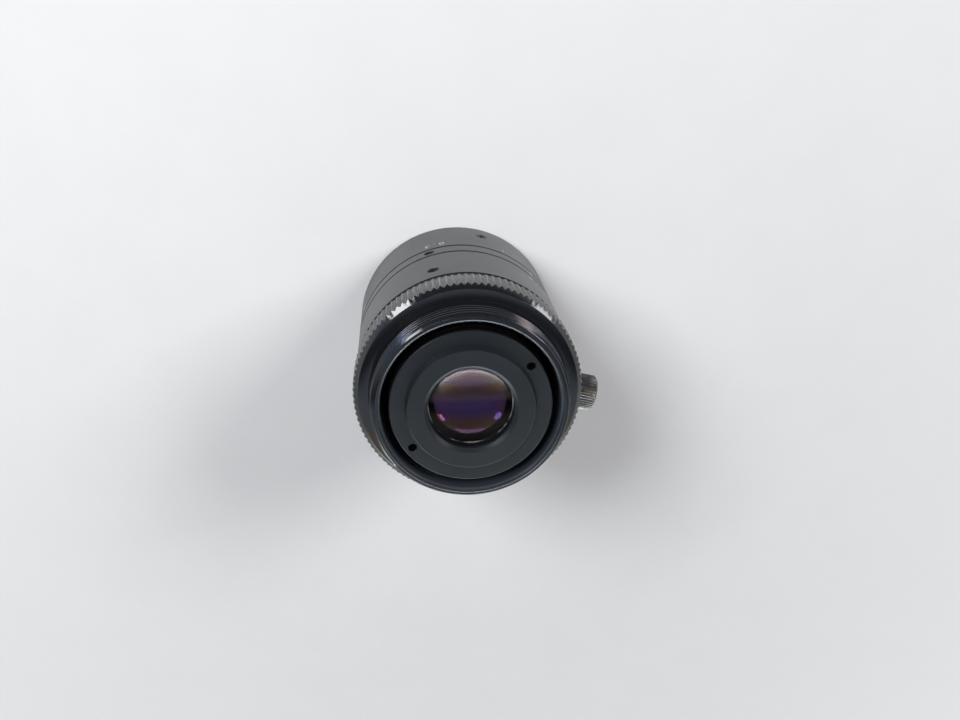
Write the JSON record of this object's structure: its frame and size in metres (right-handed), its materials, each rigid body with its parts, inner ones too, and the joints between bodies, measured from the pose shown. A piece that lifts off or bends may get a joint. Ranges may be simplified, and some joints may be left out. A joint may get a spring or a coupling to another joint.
{
  "type": "c-mount machine vision lens",
  "caption": "Fixed focal length machine vision lens with a 1 inch C-mount thread, a lockable iris ring with working blades and a lockable focus ring that slides the optics.",
  "frame": {"origin": "centre of the mount's flange face, on the optical axis", "axes": "+Z along the optical axis from the front rim towards the camera, so the lens stands on its front rim; +X and +Y lie in the flange face"},
  "size_m": [0.0338, 0.03, 0.0344],
  "materials": {
    "black_anodised": "satin black anodised",
    "bright_knurl": "black anodised aluminium with bright worn serrations",
    "blackened_inside": "matt black anodised",
    "brass_nut": "turned and greased",
    "steel_screws": "nickel grey",
    "black_steel": "blackened steel",
    "blade_steel": "blued spring steel",
    "coated_glass": "polished, with a violet anti-reflection coating",
    "pin_steel": "ground"
  },
  "bodies": {
    "fixed_barrel": {"main_barrel": "black_anodised", "mount_grip_ring": "bright_knurl", "index_ring": "black_anodised", "index_ring_screws": "black_steel", "nut_lock_ring": "brass_nut", "guide_pins": "pin_steel"},
    "focus_ring": {"focus_ring": "black_anodised", "focusing_nut": "brass_nut"},
    "iris_ring": {"iris_ring": "black_anodised", "iris_drive_pin": "black_steel"},
    "lens_unit": {"lens_barrel": "blackened_inside", "rear_cell": "black_anodised", "front_retaining_ring": "blackened_inside", "rear_retaining_ring": "blackened_inside", "front_glass": "coated_glass", "front_spacer": "blackened_inside", "second_glass": "coated_glass", "middle_spacer": "blackened_inside", "third_glass": "coated_glass", "pair_front_glass": "coated_glass", "pair_rear_glass": "coated_glass", "rear_spacer": "blackened_inside", "rear_glass": "coated_glass", "iris_base": "blackened_inside", "iris_snap_ring": "black_steel"},
    "iris_cam": {"iris_cam_ring": "blackened_inside"},
    "iris_lock": {"iris_lock_screw": "steel_screws"},
    "focus_lock": {"focus_lock_screw": "steel_screws"},
    "blade_1": {"iris_blade_1": "blade_steel"},
    "blade_2": {"iris_blade_2": "blade_steel"},
    "blade_3": {"iris_blade_3": "blade_steel"},
    "blade_4": {"iris_blade_4": "blade_steel"},
    "blade_5": {"iris_blade_5": "blade_steel"},
    "blade_6": {"iris_blade_6": "blade_steel"}
  },
  "joints": [
    {"name": "focus_turn", "type": "hinge", "parent": "fixed_barrel", "child": "focus_ring", "pos_m": [0, 0, -0.024], "axis": [0, 0, 1], "range_deg": [-120.1, 0]},
    {"name": "unit_slide", "type": "slide", "parent": "fixed_barrel", "child": "lens_unit", "axis": [0, 0, 1], "range_m": [-0.00192, 0]},
    {"name": "iris_turn", "type": "hinge", "parent": "fixed_barrel", "child": "iris_ring", "pos_m": [0, 0, -0.01], "axis": [0, 0, 1], "range_deg": [0, 48]},
    {"name": "cam_turn", "type": "hinge", "parent": "lens_unit", "child": "iris_cam", "pos_m": [0, 0, -0.01], "axis": [0, 0, 1], "range_deg": [0, 50]},
    {"name": "blade_1_swing", "type": "hinge", "parent": "lens_unit", "child": "blade_1", "pos_m": [0.0082, 0, -0.012], "axis": [0, 0, 1], "range_deg": [0, 28.9]},
    {"name": "blade_2_swing", "type": "hinge", "parent": "lens_unit", "child": "blade_2", "pos_m": [0.0041, 0.0071, -0.012], "axis": [0, 0, 1], "range_deg": [0, 28.9]},
    {"name": "blade_3_swing", "type": "hinge", "parent": "lens_unit", "child": "blade_3", "pos_m": [-0.0041, 0.0071, -0.012], "axis": [0, 0, 1], "range_deg": [0, 28.9]},
    {"name": "blade_4_swing", "type": "hinge", "parent": "lens_unit", "child": "blade_4", "pos_m": [-0.0082, 0, -0.012], "axis": [0, 0, 1], "range_deg": [0, 28.9]},
    {"name": "blade_5_swing", "type": "hinge", "parent": "lens_unit", "child": "blade_5", "pos_m": [-0.0041, -0.0071, -0.012], "axis": [0, 0, 1], "range_deg": [0, 28.9]},
    {"name": "blade_6_swing", "type": "hinge", "parent": "lens_unit", "child": "blade_6", "pos_m": [0.0041, -0.0071, -0.012], "axis": [0, 0, 1], "range_deg": [0, 28.9]},
    {"name": "iris_lock_turn", "type": "hinge", "parent": "iris_ring", "child": "iris_lock", "pos_m": [0.01406, -0.00353, -0.0089], "axis": [0.9699, -0.2436, 0], "range_deg": [0, 180]},
    {"name": "focus_lock_turn", "type": "hinge", "parent": "focus_ring", "child": "focus_lock", "pos_m": [0.01029, -0.01022, -0.0252], "axis": [0.7096, -0.7046, 0], "range_deg": [0, 180]}
  ],
  "couplings": [
    {"joint": "focus_turn", "follows": "unit_slide", "rad_per_m": 1090.8},
    {"joint": "cam_turn", "follows": "iris_turn", "ratio": 1},
    {"joint": "blade_1_swing", "follows": "iris_turn", "ratio": 0.57771},
    {"joint": "blade_2_swing", "follows": "iris_turn", "ratio": 0.57771},
    {"joint": "blade_3_swing", "follows": "iris_turn", "ratio": 0.57771},
    {"joint": "blade_4_swing", "follows": "iris_turn", "ratio": 0.57771},
    {"joint": "blade_5_swing", "follows": "iris_turn", "ratio": 0.57771},
    {"joint": "blade_6_swing", "follows": "iris_turn", "ratio": 0.57771}
  ]
}
